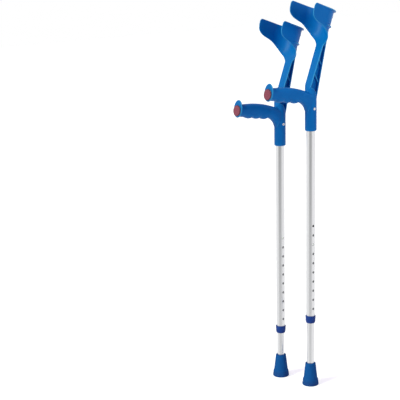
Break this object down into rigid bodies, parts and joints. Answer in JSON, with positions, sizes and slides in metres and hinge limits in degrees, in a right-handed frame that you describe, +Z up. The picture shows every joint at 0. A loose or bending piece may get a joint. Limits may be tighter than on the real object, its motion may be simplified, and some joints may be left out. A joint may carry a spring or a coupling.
{
  "type": "pair of forearm crutches",
  "caption": "Pair of height-adjustable forearm crutches: open cuff and grip in one moulding on a telescoping aluminium leg with a spring button and a rubber tip.",
  "frame": {"origin": "middle of the right crutch's tread, on the floor", "axes": "+Z up along both legs; the hand grips point to -Y; the rivets, height holes and spring buttons face +X, and the left crutch stands at x = -0.100, y = -0.020"},
  "size_m": [0.196, 0.2299, 1.0147],
  "materials": {
    "right_ferrule": "moulded rubber, matt",
    "right_ferrule_washer": "zinc-plated steel",
    "right_lower_tube": "satin anodised",
    "right_leaf_spring": "blued spring steel",
    "right_button": "polished steel",
    "right_upper_tube": "satin anodised",
    "right_collar": "moulded plastic, satin",
    "right_handle": "moulded plastic, satin with fine grain",
    "right_reflector": "glossy reflector plastic",
    "right_socket_rivet": "plated steel",
    "left_ferrule": "moulded rubber, matt",
    "left_ferrule_washer": "zinc-plated steel",
    "left_lower_tube": "satin anodised",
    "left_leaf_spring": "blued spring steel",
    "left_button": "polished steel",
    "left_upper_tube": "satin anodised",
    "left_collar": "moulded plastic, satin",
    "left_handle": "moulded plastic, satin with fine grain",
    "left_reflector": "glossy reflector plastic",
    "left_socket_rivet": "plated steel"
  },
  "bodies": {
    "legs": {"right_ferrule": "right_ferrule", "right_ferrule_washer": "right_ferrule_washer", "right_lower_tube": "right_lower_tube", "right_leaf_spring": "right_leaf_spring", "left_ferrule": "left_ferrule", "left_ferrule_washer": "left_ferrule_washer", "left_lower_tube": "left_lower_tube", "left_leaf_spring": "left_leaf_spring"},
    "right_upper": {"right_upper_tube": "right_upper_tube", "right_collar": "right_collar", "right_handle": "right_handle", "right_reflector": "right_reflector", "right_socket_rivet": "right_socket_rivet"},
    "left_upper": {"left_upper_tube": "left_upper_tube", "left_collar": "left_collar", "left_handle": "left_handle", "left_reflector": "left_reflector", "left_socket_rivet": "left_socket_rivet"},
    "right_button": {"right_button": "right_button"},
    "left_button": {"left_button": "left_button"}
  },
  "joints": [
    {"name": "right_height", "type": "slide", "parent": "legs", "child": "right_upper", "axis": [0, 0, 1], "range_m": [-0.05, 0.175], "deforming": ["right_button"]},
    {"name": "right_button_press", "type": "slide", "parent": "legs", "child": "right_button", "axis": [-1, 0, 0], "range_m": [0, 0.0038], "stiffness_N_per_m": 2500, "deforming": ["right_leaf_spring"]},
    {"name": "left_height", "type": "slide", "parent": "legs", "child": "left_upper", "axis": [0, 0, 1], "range_m": [0, 0.225], "deforming": ["left_button"]},
    {"name": "left_button_press", "type": "slide", "parent": "legs", "child": "left_button", "axis": [-1, 0, 0], "range_m": [0, 0.0038], "stiffness_N_per_m": 2500, "deforming": ["left_leaf_spring"]}
  ]
}
